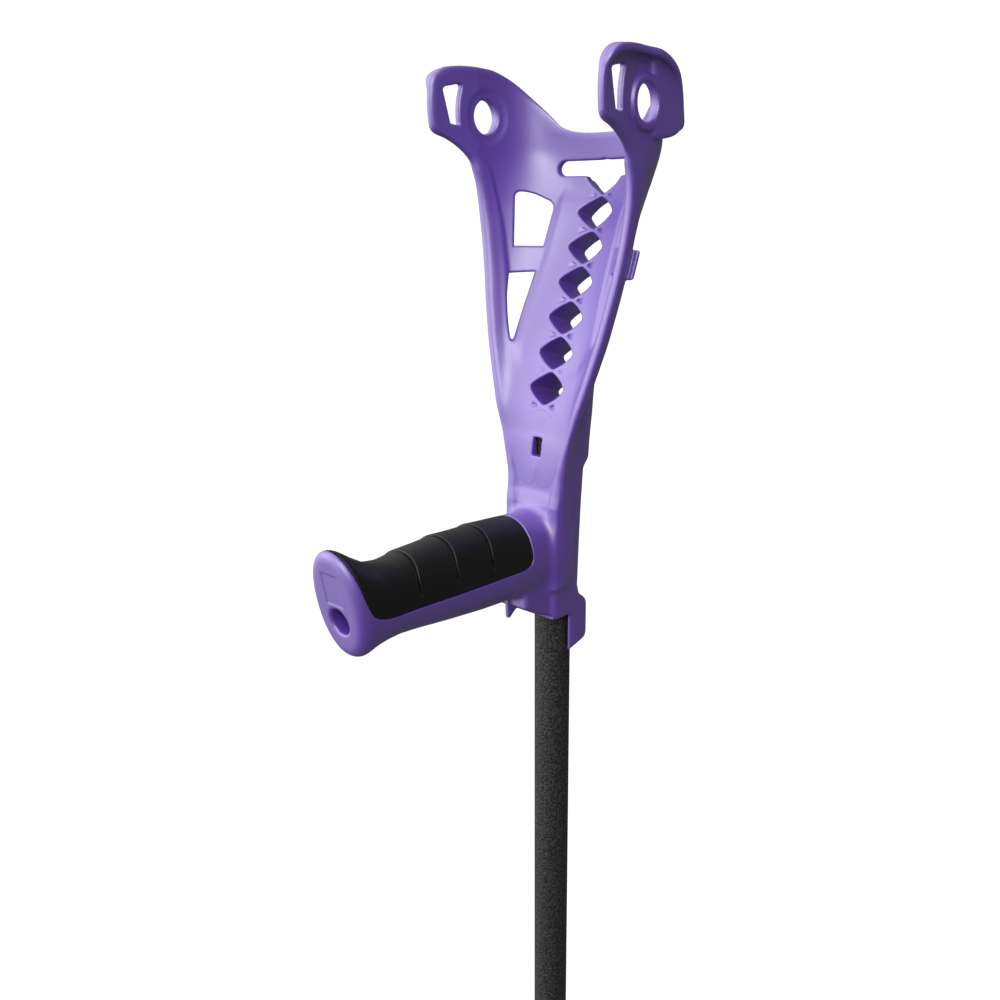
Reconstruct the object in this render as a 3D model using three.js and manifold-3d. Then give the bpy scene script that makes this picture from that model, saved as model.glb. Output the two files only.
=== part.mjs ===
// Forearm crutch with an open cuff. Cuff, trough, tube housing and handle core are one plastic moulding.
// A black upper tube is fixed in the moulding; a slimmer lower tube slides in it and a spring clip holds it.
// Millimetres, +Z up, handle towards -Y, forearm in the trough. Origin: centre of the ferrule's sole.
import * as THREE from 'three';
import { mergeVertices } from 'three/addons/utils/BufferGeometryUtils.js';
import Module from 'manifold-3d';

const wasm = await Module();
wasm.setup();

// ---- Driving dimensions: whole crutch -----------------------------------------------------------------
const HOUSING_DATUM = 667; // height of the moulding's own zero, just under the tube housing
const HEIGHT_STEP = 20; // pitch of the height holes
const HEIGHT_STEPS = 12; // steps between the shortest and the longest setting
const FIT_GAP = 0.3; // clearance between pieces that touch
const TUBE_GAP = 0.3; // radial gap between the two tubes
const SLIDE_GAP = 0.08; // radial clearance of the glide sleeve and the bush, which guide the lower tube
const ROUND = 32; // facets round a tube
const SMALL_ROUND = 14; // facets round a small hole or pin

// ---- Driving dimensions: tubes ------------------------------------------------------------------------
const UPPER_RADIUS = 10;
const UPPER_WALL = 1.2;
const UPPER_BOTTOM = 330;
const UPPER_TOP = 784;
const UPPER_BORE = UPPER_RADIUS - UPPER_WALL;
const LOWER_RADIUS = UPPER_BORE - TUBE_GAP;
const LOWER_WALL = 1.4;
const LOWER_BORE = LOWER_RADIUS - LOWER_WALL;
const LOWER_BOTTOM = 10.5;
const LOWER_TOP = 630;
const HOLE_RADIUS = 3;
const LOCK_HEIGHT = 345; // height of the lock pin
const PIN_RADIUS = 2.7;
const PIN_HEAD_RADIUS = 4.2;
const COLLAR_BOTTOM = 316;
const COLLAR_TOP = 366;
const COLLAR_RADIUS = 12.8;
const BUSH_RADIUS = 10.6;
const CLIP_WALL = 2.6;
const CLIP_HEIGHT = 18;
const FERRULE_FLOOR = 7.4; // thickness of rubber under the socket
const FERRULE_HEIGHT = 46;
const FERRULE_BASE_RADIUS = 20.5;

// ---- Driving dimensions: moulding, heights above the housing datum ------------------------------------
const WALL = 4; // wall of trough, wings and cuff
const FORWARD_LIMIT = -50; // sections run this far forward before the side profile trims them
const ARC_STEPS = 20; // points along one trough section
const SPINE_HALF = 14; // half width of the block that the diamonds run through
const HOLE_TILT = THREE.MathUtils.degToRad(15); // the diamonds fall towards the back
const DIAMOND_HALF = [11.6, 8.7]; // half width, half height
const DIAMOND_PITCH = 19.2;
const DIAMOND_COUNT = 7; // the top one opens into the slot
const LATTICE_LEAN = THREE.MathUtils.degToRad(23.8);
const LATTICE_FOOT = [-3.7, 143.5]; // y, z of the lowest diamond's centre
const PADDLE_HOLE = { y: 2.4, z: 279.5, radius: 8.4 };
const LIP_REACH = 4; // how far the lip of the rim stands out
const LIP_HEIGHT = 4;
const SKIRT_WALL = 3;
const HOOD_HALF = 53.4; // the skirt's outer face: half width, front end, back end
const HOOD_FRONT = -4;
const HOOD_BACK = 46.2;
const HOOD_SPREAD = 3; // how much wider the skirt is at the rim
const HOOD_SQUARENESS = 6.5;
const PADDLE_FLARE = 5.5; // how far the paddles spread towards their front ends
const BOSS_RADIUS = 12;
const SLOT = { halfWidth: 26.8, z: 254, halfHeight: 3.8 };
const WINDOW_REACH = 70; // the window cutters start this far out
const WINDOW_DEPTH = 62; // and run this far in
const TAB_HEIGHT = 3.8;
const END_HOLE_RADIUS = 6.2;
const END_HOLE_HEIGHT = 58.5;
const FIN_HALF = 1.3;
const TONGUE_HALF = 13;
const TONGUE_RADIUS = 19.4; // the tongue's back is cut round about the tube axis
const FOOT_OPENING = { width: 5.8, height: 9.6, z: 114.2 }; // small opening at the trough's foot
const GRIP_GROOVES = [63, 87, 110]; // distances forward of the tube axis
const GROOVE_WIDTH = 1.8;
const GROOVE_DEPTH = 0.9;
const DIAMOND_LENGTH = 80;
const HOUSING_BORE = UPPER_RADIUS + FIT_GAP;
const PART_LINE = 58; // height of the grip cover's lower edge
const GRIP_SKIN = 3.5; // thickness of the grip cover

// Trough sections: height, outer half width, front edge y, y of the trough floor, roundness exponent.
const TROUGH = [
  [86, 17.2, -15.2, -15.2, 1.5],
  [98, 18.2, -15.1, -15.0, 1.5],
  [115, 22.2, -15.9, -12.5, 1.7],
  [130, 27.0, -15.0, -8.3, 1.9],
  [150, 33.0, -12.6, -1.4, 2.1],
  [170, 38.5, -9.7, 7.0, 1.95],
  [190, 42.7, -7.0, 16.2, 1.78],
  [210, 46.3, -4.3, 25.9, 1.64],
  [230, 49.4, -3.5, 35.2, 1.6],
  [240, 50.4, -4.0, 39.4, 1.8],
  [250, 51.0, -5.0, 40.4, 2.15],
  [262, 51.4, -5.0, 39.0, 2.8],
  [275, 51.4, -4.0, 37.5, 3.0],
  [306, 51.4, -4.0, 37.5, 3.0],
];

// Housing sections: height, half width of the front, front y, radius of the back, y of that radius's centre.
const HOUSING = [
  [20, 13.0, -14.0, 13.0, 0],
  [24, 15.5, -16.0, 13.5, 0],
  [34, 16.5, -17.0, 13.5, 0],
  [60, 16.8, -17.5, 14.1, 0],
  [80, 17.2, -16.6, 14.7, 0],
  [100, 18.3, -15.0, 15.6, 0],
  [115, 20.8, -14.0, 16.6, 0.5],
  [130, 21.5, -11.0, 18.0, 1.5],
  [145, 19.0, -5.5, 17.5, 3.5],
  [160, 16.5, 2.5, 15.0, 9.5],
];

// Spine block behind the trough floor: height, y of the back face.
const SPINE = [
  [112, 14.5],
  [128, 15.0],
  [141, 16.8],
  [228, 45.2],
  [246, 48.6],
];

// Handle sections: distance forward of the tube axis, top, bottom, half width, share of the end's tilt.
const HANDLE = [
  [6, 78.0, 38.0, 15.0, 0],
  [14, 79.5, 37.0, 16.5, 0],
  [30, 81.5, 37.5, 17.5, 0],
  [45, 82.3, 38.0, 18.0, 0],
  [65, 83.0, 39.0, 18.0, 0],
  [88, 83.2, 41.0, 17.6, 0],
  [108, 81.7, 43.2, 16.6, 0.2],
  [120, 80.8, 44.2, 16.2, 0.45],
  [129, 82.2, 43.8, 16.4, 0.7],
  [137, 87.5, 42.1, 16.8, 0.9],
  [142.5, 92.2, 40.4, 17.0, 1],
  [146, 93.0, 40.0, 16.6, 1],
  [148.4, 91.2, 42.2, 14.6, 1],
  [149.2, 87.5, 46.0, 11.0, 1],
];
const HANDLE_MIDDLE = 66; // height about which the end of the handle tilts
const END_TILT = 0.19; // forward lean of the end face, per unit of height
const HANDLE_ROUNDNESS = 2.35;
const HANDLE_CORE_END = 147; // the core under the grip cover ends inside the flared end

// ---- Geometry helpers ---------------------------------------------------------------------------------
function solidOf(geometry) {
  const bare = geometry.clone();
  bare.deleteAttribute('normal');
  bare.deleteAttribute('uv');
  const merged = mergeVertices(bare, 1e-4);
  const vertProperties = new Float32Array(merged.attributes.position.array);
  const corners = Array.from(merged.index.array);
  const kept = [];
  for (let i = 0; i < corners.length; i += 3) {
    const [a, b, c] = corners.slice(i, i + 3);
    if (a !== b && b !== c && c !== a) kept.push(a, b, c);
  }
  const triVerts = new Uint32Array(kept);
  return new wasm.Manifold(new wasm.Mesh({ numProp: 3, vertProperties, triVerts }));
}

function geometryOf(solid) {
  const mesh = solid.getMesh();
  const geometry = new THREE.BufferGeometry();
  geometry.setAttribute('position', new THREE.BufferAttribute(new Float32Array(mesh.vertProperties), 3));
  geometry.setIndex(new THREE.BufferAttribute(new Uint32Array(mesh.triVerts), 1));
  geometry.computeVertexNormals();
  return geometry;
}

// Smooth row of a station table at one value of its first column.
function rowAt(table, value) {
  const keys = table.map((row) => row[0]);
  const values = table.flatMap((row) => row.slice(1));
  const curve = new THREE.CubicInterpolant(keys, values, table[0].length - 1);
  const clamped = THREE.MathUtils.clamp(value, keys[0], keys[keys.length - 1]);
  return Array.from(curve.evaluate(clamped));
}

function steps(from, to, count) {
  return Array.from({ length: count + 1 }, (_, i) => from + ((to - from) * i) / count);
}

// Closed solid through rings of equal point count; every ring is convex, so its caps are fans.
function loftConvex(rings) {
  const count = rings[0].length;
  const points = rings.flat();
  const index = [];
  for (let r = 0; r + 1 < rings.length; r += 1) {
    for (let i = 0; i < count; i += 1) {
      const next = (i + 1) % count;
      const a = r * count + i;
      const b = r * count + next;
      index.push(a, b, b + count, a, b + count, a + count);
    }
  }
  const last = (rings.length - 1) * count;
  for (let i = 1; i + 1 < count; i += 1) {
    index.push(0, i + 1, i);
    index.push(last, last + i, last + i + 1);
  }
  const geometry = new THREE.BufferGeometry().setFromPoints(points);
  geometry.setIndex(index);
  return solidOf(geometry);
}

// Side-view outline in (y, z), swept across X from one side to the other.
function sidePrism(shape, xFrom, xTo) {
  const options = { depth: xTo - xFrom, bevelEnabled: false, curveSegments: 5 };
  const geometry = new THREE.ExtrudeGeometry(shape, options);
  geometry.applyMatrix4(new THREE.Matrix4().makeBasis(
    new THREE.Vector3(0, 1, 0), new THREE.Vector3(0, 0, 1), new THREE.Vector3(1, 0, 0),
  ));
  geometry.translate(xFrom, 0, 0);
  return solidOf(geometry);
}

function cylinderAlong(axis, radius, from, to, facets = ROUND) {
  const geometry = new THREE.CylinderGeometry(radius, radius, to - from, facets);
  geometry.translate(0, (from + to) / 2, 0);
  if (axis === 'x') geometry.rotateZ(-Math.PI / 2);
  if (axis === 'z') geometry.rotateX(Math.PI / 2);
  return solidOf(geometry);
}

function box(size, centre) {
  return solidOf(new THREE.BoxGeometry(...size).translate(...centre));
}

function smoothShape(points) {
  const shape = new THREE.Shape();
  shape.moveTo(...points[0]);
  for (const point of points.slice(1)) {
    if (point.length === 2) shape.lineTo(...point);
    else shape.quadraticCurveTo(...point);
  }
  shape.closePath();
  return shape;
}

// ---- Moulding: trough, wings and cuff -----------------------------------------------------------------
// Filled trough section, grown outwards by a distance (negative for the hollow inside).
function troughSection(z, grow) {
  const [width, front, floor, roundness] = rowAt(TROUGH, z);
  const half = width + grow;
  const depth = floor + WALL + grow - front;
  const flare = PADDLE_FLARE * THREE.MathUtils.smoothstep(z, 238, 266);
  const ring = [];
  for (const angle of steps(0, Math.PI, ARC_STEPS)) {
    const across = Math.cos(angle);
    const along = Math.max(0, Math.sin(angle));
    const x = half * Math.sign(across) * Math.abs(across) ** (2 / roundness);
    const y = front + depth * along ** (2 / roundness);
    ring.push(new THREE.Vector3(x, y, z));
  }
  ring.push(new THREE.Vector3(-half - flare, FORWARD_LIMIT, z));
  ring.push(new THREE.Vector3(half + flare, FORWARD_LIMIT, z));
  return ring;
}

function troughSolid(grow) {
  const heights = [...steps(86, 230, 9), ...steps(230, 275, 6).slice(1), 306];
  return loftConvex(heights.map((z) => troughSection(z, grow)));
}

// Side view of wings and cuff: front edge, paddle, rim falling to the back band.
function rimPoints() {
  return [
    [-33.4, 298.5, -24, 301.4],
    [-13, 304.2, 4, 302.8],
    [18.5, 301, 27, 291.4],
    [33, 285, 35.3, 278],
    [37.6, 270, 44, 268.8],
  ];
}

function cuffProfile() {
  return smoothShape([
    [-17.4, 84],
    [-16, 91],
    [-15.6, 99],
    [-16.2, 118, -14.2, 138],
    [-10, 168, -6.6, 192],
    [-3.2, 212, -3.4, 232],
    [-3.6, 251, -9.5, 258.2],
    [-15.5, 265, -27, 269],
    [-32.4, 270.4, -33.2, 274.5],
    [-34.6, 284, -33.4, 291],
    ...rimPoints(),
    [62, 268.8],
    [62, 84],
  ]);
}

// Strip under the rim, as deep as the outward lip is thick.
function lipProfile(depth) {
  const top = new THREE.Shape();
  top.moveTo(-33.4, 291);
  for (const point of rimPoints()) top.quadraticCurveTo(...point);
  top.lineTo(66, 268.8);
  const upper = top.getPoints(4);
  const lower = upper.map((p) => new THREE.Vector2(p.x, p.y - depth)).reverse();
  return new THREE.Shape([...upper, ...lower]);
}

// Side view of the skirt that hangs from the lip round the two rear corners of the cuff.
function skirtProfile() {
  return smoothShape([
    [8, 303],
    [8, 267],
    [9, 264, 14, 264.2],
    [26, 265.4, 33, 269],
    [41.5, 274, 43.5, 288],
    [43.5, 303],
  ]);
}

// The skirt's outer face runs straight back from the paddles and turns a tighter corner than the wall.
function hoodSolid(grow) {
  const depth = HOOD_BACK + grow - HOOD_FRONT;
  const rings = [258, 280, 290, 298, 306].map((z) => {
    const half = HOOD_HALF + grow + HOOD_SPREAD * THREE.MathUtils.smoothstep(z, 280, 298);
    const ring = steps(0, Math.PI, ARC_STEPS).map((angle) => {
      const across = Math.cos(angle);
      const along = Math.max(0, Math.sin(angle));
      const x = half * Math.sign(across) * Math.abs(across) ** (2 / HOOD_SQUARENESS);
      return new THREE.Vector3(x, HOOD_FRONT + depth * along ** (2 / HOOD_SQUARENESS), z);
    });
    ring.push(new THREE.Vector3(-half, FORWARD_LIMIT, z));
    ring.push(new THREE.Vector3(half, FORWARD_LIMIT, z));
    return ring;
  });
  return loftConvex(rings);
}

function cuffShell() {
  const hollow = troughSolid(-WALL);
  const wings = troughSolid(0).subtract(hollow).intersect(sidePrism(cuffProfile(), -70, 70));
  const lipRoom = sidePrism(lipProfile(LIP_HEIGHT), -80, 80);
  const lip = troughSolid(LIP_REACH).subtract(troughSolid(-0.5 * WALL)).intersect(lipRoom);
  const skirtRoom = sidePrism(skirtProfile(), -80, 80);
  const skirt = hoodSolid(0).subtract(hoodSolid(-SKIRT_WALL)).intersect(skirtRoom)
    .intersect(sidePrism(lipProfile(60), -80, 80));
  const skirtTop = hoodSolid(0).subtract(troughSolid(-1)).intersect(lipRoom).intersect(skirtRoom);
  return wings.add(lip).add(skirt).add(skirtTop);
}

// ---- Moulding: spine, housing, handle core ------------------------------------------------------------
function spineBlock() {
  const rings = steps(SPINE[0][0], SPINE[SPINE.length - 1][0], 8).map((z) => {
    const [back] = rowAt(SPINE, z);
    const floor = rowAt(TROUGH, z)[2] + 1.5;
    const corner = 3;
    return [
      new THREE.Vector3(SPINE_HALF, floor - 2, z),
      new THREE.Vector3(SPINE_HALF, back - corner, z),
      new THREE.Vector3(SPINE_HALF - corner, back, z),
      new THREE.Vector3(corner - SPINE_HALF, back, z),
      new THREE.Vector3(-SPINE_HALF, back - corner, z),
      new THREE.Vector3(-SPINE_HALF, floor - 2, z),
    ];
  });
  return loftConvex(rings).subtract(troughSolid(-WALL));
}

function housingBody() {
  const rings = steps(HOUSING[0][0], HOUSING[HOUSING.length - 1][0], 14).map((z) => {
    const [half, front, radius, centre] = rowAt(HOUSING, z);
    const back = steps(0, Math.PI, 16).map(
      (angle) => new THREE.Vector3(radius * Math.cos(angle), centre + radius * Math.sin(angle), z),
    );
    const bevel = 2.5;
    return [
      new THREE.Vector3(half - bevel, front - 0.6, z),
      new THREE.Vector3(half, front + bevel, z),
      ...back,
      new THREE.Vector3(-half, front + bevel, z),
      new THREE.Vector3(bevel - half, front - 0.6, z),
    ];
  });
  return loftConvex(rings).subtract(troughSolid(-WALL));
}

// Handle section, shrunk inwards by a distance.
function handleSection(forward, shrink) {
  const [top, bottom, width, tilt] = rowAt(HANDLE, forward);
  const halfHeight = (top - bottom) / 2 - shrink;
  const half = width - shrink;
  const middle = (top + bottom) / 2;
  return steps(0, 2 * Math.PI, 24).slice(0, -1).map((angle) => {
    const across = Math.cos(angle);
    const up = Math.sin(angle);
    const x = half * Math.sign(across) * Math.abs(across) ** (2 / HANDLE_ROUNDNESS);
    const z = middle + halfHeight * Math.sign(up) * Math.abs(up) ** (2 / HANDLE_ROUNDNESS);
    const y = -forward - tilt * END_TILT * (z - HANDLE_MIDDLE);
    return new THREE.Vector3(x, y, z);
  });
}

function handleSolid(shrink) {
  const reach = shrink > 1 ? HANDLE_CORE_END : Infinity;
  const stations = HANDLE.map((row) => row[0]).filter((forward) => forward <= reach);
  return loftConvex(stations.map((forward) => handleSection(forward, shrink)));
}

// Side view of the room that the grip cover fills, grown by a gap.
function gripRoom(gap) {
  const shape = smoothShape([
    [-36 + gap, 100],
    [-36 + gap, PART_LINE + 6 - gap],
    [-36 + gap, PART_LINE - gap, -44, PART_LINE - gap],
    [-122, PART_LINE + 1 - gap],
    [-136 - gap, PART_LINE + 1 - gap, -141 - gap, 64 - gap],
    [-145.5 - gap, 71, -146.5 - gap, 100],
  ]);
  return sidePrism(shape, -30, 30);
}

function handleCore() {
  const inner = handleSolid(GRIP_SKIN + FIT_GAP);
  const bare = handleSolid(0).subtract(gripRoom(FIT_GAP));
  const endHole = cylinderAlong('y', END_HOLE_RADIUS, -170, -60, SMALL_ROUND);
  return bare.add(inner).subtract(endHole.translate(0, 0, END_HOLE_HEIGHT));
}

function gripCover() {
  let cover = handleSolid(0).intersect(gripRoom(0)).subtract(handleSolid(GRIP_SKIN));
  const skin = handleSolid(-1).subtract(handleSolid(GROOVE_DEPTH));
  for (const forward of GRIP_GROOVES) {
    const slice = box([60, GROOVE_WIDTH, 60], [0, -forward - 3, 78]);
    cover = cover.subtract(skin.intersect(slice));
  }
  return cover;
}

// ---- Moulding: openings and small features ------------------------------------------------------------
function diamondHoles() {
  const [w, h] = DIAMOND_HALF;
  const shape = smoothShape([
    [0.87 * w, 0.18 * h],
    [0.62 * w, 0.57 * h, 0.19 * w, 0.87 * h],
    [0, 1.06 * h, -0.19 * w, 0.87 * h],
    [-0.62 * w, 0.57 * h, -0.87 * w, 0.18 * h],
    [-1.02 * w, 0, -0.87 * w, -0.18 * h],
    [-0.62 * w, -0.57 * h, -0.19 * w, -0.87 * h],
    [0, -1.06 * h, 0.19 * w, -0.87 * h],
    [0.62 * w, -0.57 * h, 0.87 * w, -0.18 * h],
    [1.02 * w, 0, 0.87 * w, 0.18 * h],
  ]);
  let holes = null;
  for (let i = 0; i < DIAMOND_COUNT; i += 1) {
    const along = i * DIAMOND_PITCH;
    const y = LATTICE_FOOT[0] + along * Math.sin(LATTICE_LEAN);
    const z = LATTICE_FOOT[1] + along * Math.cos(LATTICE_LEAN);
    const options = { depth: DIAMOND_LENGTH, bevelEnabled: false, curveSegments: 3 };
    const geometry = new THREE.ExtrudeGeometry(shape, options);
    geometry.translate(0, 0, -DIAMOND_LENGTH / 2);
    geometry.rotateX(-Math.PI / 2 - HOLE_TILT);
    geometry.translate(0, y, z);
    const hole = solidOf(geometry);
    holes = holes ? holes.add(hole) : hole;
  }
  return holes;
}

// Windows are cut square to the wing, on a plane whose across axis runs diagonally in plan.
function windowPair() {
  const upper = smoothShape([
    [-18.6, 214.8],
    [-2.3, 214.6],
    [2.8, 231],
    [5.5, 237, -0.6, 238.6],
    [-7, 242.2, -14, 242.6],
    [-17.6, 242.6, -17.6, 239],
  ]);
  const lower = smoothShape([
    [-21.6, 200.8],
    [-6.9, 201.4],
    [-13.5, 184],
    [-20.4, 166.3],
    [-23, 176, -22.8, 190],
  ]);
  const across = new THREE.Vector3(1, 1, 0).normalize();
  const out = new THREE.Vector3(1, -1, 0).normalize();
  const basis = new THREE.Matrix4().makeBasis(across, new THREE.Vector3(0, 0, 1), out);
  let pair = null;
  for (const shape of [upper, lower]) {
    const options = { depth: WINDOW_DEPTH, bevelEnabled: false, curveSegments: 4 };
    const geometry = new THREE.ExtrudeGeometry(shape, options);
    geometry.translate(0, 0, -WINDOW_REACH);
    geometry.applyMatrix4(basis);
    const left = solidOf(geometry);
    const both = left.add(left.mirror([1, 0, 0]));
    pair = pair ? pair.add(both) : both;
  }
  return pair;
}

function paddleOpenings() {
  const { y, z, radius } = PADDLE_HOLE;
  const hole = cylinderAlong('x', radius, -80, 80, 24).translate(0, y, z);
  const slot = smoothShape([
    [-26.2, 291],
    [-25.6, 292.4, -24.1, 292.7],
    [-16.4, 294.2],
    [-14.5, 294.6, -14.7, 292.5],
    [-17.5, 285, -16.5, 275.8],
    [-16.5, 274.6, -17.9, 274.8],
    [-22, 275.6],
  ]);
  return hole.add(sidePrism(slot, -80, 80));
}

function bossRings() {
  const outer = cylinderAlong('x', BOSS_RADIUS, 50, 53.4, 24);
  const ring = outer.add(outer.mirror([1, 0, 0]));
  return ring.translate(0, PADDLE_HOLE.y, PADDLE_HOLE.z);
}

// The slot, with the V below it that the top diamond opens into.
function backSlot() {
  const { halfWidth, z, halfHeight } = SLOT;
  const corners = [[-13.5, 251.5], [0, 240.4], [13.5, 251.5]].map(([x, up]) => new THREE.Vector2(x, up));
  const notch = new THREE.ExtrudeGeometry(new THREE.Shape(corners), { depth: 60, bevelEnabled: false });
  notch.rotateX(Math.PI / 2).translate(0, 70, 0);
  const bar = box([2 * (halfWidth - halfHeight), 60, 2 * halfHeight], [0, 40, z]);
  const end = cylinderAlong('y', halfHeight, 10, 70, SMALL_ROUND);
  const right = end.translate(halfWidth - halfHeight, 0, z);
  return bar.add(right).add(right.mirror([1, 0, 0])).add(solidOf(notch));
}

// Outer tab of the bar between the two windows, one on each wing.
function windowBarTabs() {
  const tab = smoothShape([[2, 200.3], [20, 200.3], [22, 212.5], [5, 214.3]]);
  const band = troughSolid(TAB_HEIGHT).subtract(troughSolid(-0.5 * WALL));
  return band.intersect(sidePrism(tab, -70, 70));
}

function fin() {
  const outline = smoothShape([[-38.5, 44], [-37.6, 26], [-36.5, 25.4], [-29, 31], [-24, 44]]);
  return sidePrism(outline, -FIN_HALF, FIN_HALF);
}

// Tongue behind the tube that reaches below the housing and flares backwards.
function rearTongue() {
  const outline = smoothShape([
    [8, 29.5],
    [14, 25],
    [17.9, 21.6, 18.9, 17.4],
    [19.4, 14, 18.8, 11],
    [17.8, 5.4],
    [17, 2.8, 13.4, 1],
    [-0.5, -2.4],
    [-0.5, 29.5],
  ]);
  const block = sidePrism(outline, -TONGUE_HALF, TONGUE_HALF);
  const edge = cylinderAlong('z', TONGUE_RADIUS, -10, 40, ROUND);
  const clearance = cylinderAlong('z', UPPER_RADIUS + 1, -20, 22.5, ROUND);
  return block.intersect(edge).subtract(clearance);
}

function footOpening() {
  return box([FOOT_OPENING.width, 20, FOOT_OPENING.height], [0, -14, FOOT_OPENING.z]);
}

function cuffHandleMoulding() {
  const bore = cylinderAlong('z', HOUSING_BORE, -20, UPPER_TOP - HOUSING_DATUM + 3.2, ROUND);
  const openings = diamondHoles().add(windowPair()).add(paddleOpenings()).add(backSlot()).add(footOpening());
  return cuffShell()
    .add(spineBlock())
    .add(housingBody())
    .add(handleCore())
    .add(bossRings())
    .subtract(openings)
    .add(windowBarTabs())
    .add(fin())
    .add(rearTongue())
    .subtract(bore)
    .subtract(screwHole());
}

// ---- Tube fixing --------------------------------------------------------------------------------------
const SCREW_HEIGHT = 46;
const SCREW_RADIUS = 1.9;

function screwHole() {
  const shank = cylinderAlong('y', SCREW_RADIUS + FIT_GAP, 0, 40, SMALL_ROUND);
  const head = cylinderAlong('y', 3.8, 12, 40, SMALL_ROUND);
  return shank.add(head).translate(0, 0, SCREW_HEIGHT);
}

function retainingScrew() {
  const shank = cylinderAlong('y', SCREW_RADIUS, 6.5, 13, SMALL_ROUND);
  const head = cylinderAlong('y', 3.4, 12.3, 13.9, SMALL_ROUND);
  const recess = cylinderAlong('y', 1.4, 13.1, 15, 6);
  return shank.add(head).subtract(recess).translate(0, 0, SCREW_HEIGHT);
}

// ---- Turned pieces, heights above the floor -----------------------------------------------------------
// A profile that starts on the axis also ends on it; any other closes on itself.
function turned(profile, facets = ROUND) {
  const closed = profile[0][0] === 0 ? profile : [...profile, profile[0]];
  const points = closed.map(([radius, z]) => new THREE.Vector2(radius, z));
  if (THREE.ShapeUtils.area(points) < 0) points.reverse();
  const geometry = new THREE.LatheGeometry(points, facets);
  geometry.rotateX(Math.PI / 2);
  return solidOf(geometry);
}

function pipe(outer, inner, bottom, top) {
  return turned([[inner, bottom], [outer, bottom], [outer, top], [inner, top]]);
}

function upperTube() {
  const pinHole = cylinderAlong('y', HOLE_RADIUS, 4, 14, SMALL_ROUND).translate(0, 0, LOCK_HEIGHT);
  const fixing = cylinderAlong('y', SCREW_RADIUS + FIT_GAP, 4, 14, SMALL_ROUND);
  return pipe(UPPER_RADIUS, UPPER_BORE, UPPER_BOTTOM, UPPER_TOP)
    .subtract(pinHole)
    .subtract(fixing.translate(0, 0, HOUSING_DATUM + SCREW_HEIGHT));
}

function tubeTopPlug() {
  const inside = UPPER_BORE - FIT_GAP;
  const seat = UPPER_TOP + FIT_GAP;
  return turned([
    [0, seat + 2],
    [UPPER_RADIUS - 0.6, seat + 2],
    [UPPER_RADIUS, seat + 1.4],
    [UPPER_RADIUS, seat],
    [inside, seat],
    [inside, seat - 11],
    [inside - 0.8, seat - 12],
    [inside - 2, seat - 12],
    [inside - 2, seat],
    [0, seat],
  ]);
}

function lowerTube() {
  let tube = pipe(LOWER_RADIUS, LOWER_RADIUS - LOWER_WALL, LOWER_BOTTOM, LOWER_TOP);
  const hole = cylinderAlong('y', HOLE_RADIUS, 4, 12, SMALL_ROUND);
  for (const step of steps(0, HEIGHT_STEPS, HEIGHT_STEPS)) {
    tube = tube.subtract(hole.translate(0, 0, LOCK_HEIGHT + step * HEIGHT_STEP));
  }
  return tube;
}

// Snap-in sleeve on the top end of the lower tube; its head guides the tube in the upper one.
function glideSleeve() {
  const stem = LOWER_BORE - FIT_GAP;
  const head = UPPER_BORE - SLIDE_GAP;
  const seat = LOWER_TOP + FIT_GAP;
  return turned([
    [stem - 1.6, seat - 14],
    [stem, seat - 14],
    [stem, seat],
    [head, seat],
    [head, seat + 9],
    [head - 1, seat + 10],
    [stem - 1.6, seat + 10],
  ]);
}

function footPlug() {
  const stem = LOWER_BORE - FIT_GAP;
  const seat = LOWER_BOTTOM - FIT_GAP;
  return turned([
    [0, seat - 1.2],
    [LOWER_RADIUS, seat - 1.2],
    [LOWER_RADIUS, seat],
    [stem, seat],
    [stem, seat + 11],
    [stem - 0.8, seat + 12],
    [stem - 2, seat + 12],
    [stem - 2, seat],
    [0, seat],
  ]);
}

function ferruleWasher() {
  return turned([
    [2.2, FERRULE_FLOOR + FIT_GAP],
    [LOWER_RADIUS, FERRULE_FLOOR + FIT_GAP],
    [LOWER_RADIUS, FERRULE_FLOOR + FIT_GAP + 1],
    [2.2, FERRULE_FLOOR + FIT_GAP + 1],
  ]);
}

// Rubber foot: flared base, bellied neck, two ribs at the mouth, grooved sole.
function ferrule() {
  const socket = LOWER_RADIUS + FIT_GAP;
  const top = FERRULE_HEIGHT;
  return turned([
    [0, 0],
    [6.5, 0],
    [7.3, 1.4],
    [8.9, 1.4],
    [9.7, 0],
    [13, 0],
    [13.8, 1.4],
    [15.4, 1.4],
    [16.2, 0],
    [18.2, 0],
    [FERRULE_BASE_RADIUS, 1.6],
    [FERRULE_BASE_RADIUS, 5.5],
    [19.2, 7.2],
    [16.2, 12.5],
    [14.2, 20],
    [13.4, 27],
    [13.2, top - 13],
    [14.4, top - 12],
    [14.4, top - 9.5],
    [13.2, top - 8.5],
    [13.2, top - 5.5],
    [14.4, top - 4.5],
    [14.4, top - 1.2],
    [13.4, top],
    [socket + 0.9, top],
    [socket, top - 1],
    [socket, FERRULE_FLOOR],
    [0, FERRULE_FLOOR],
  ]);
}

// ---- Height lock --------------------------------------------------------------------------------------
function pinPassage(from, to) {
  return cylinderAlong('y', PIN_RADIUS + FIT_GAP, from, to, SMALL_ROUND).translate(0, 0, LOCK_HEIGHT);
}

// Rails of the clip and the grooves of the collar that they run in, on both sides.
function sideRails(fromY, toY, fromX, halfHeight) {
  const rail = box([4, toY - fromY, 2 * halfHeight], [fromX + 2, (fromY + toY) / 2, LOCK_HEIGHT]);
  return rail.add(rail.mirror([1, 0, 0]));
}

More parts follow.
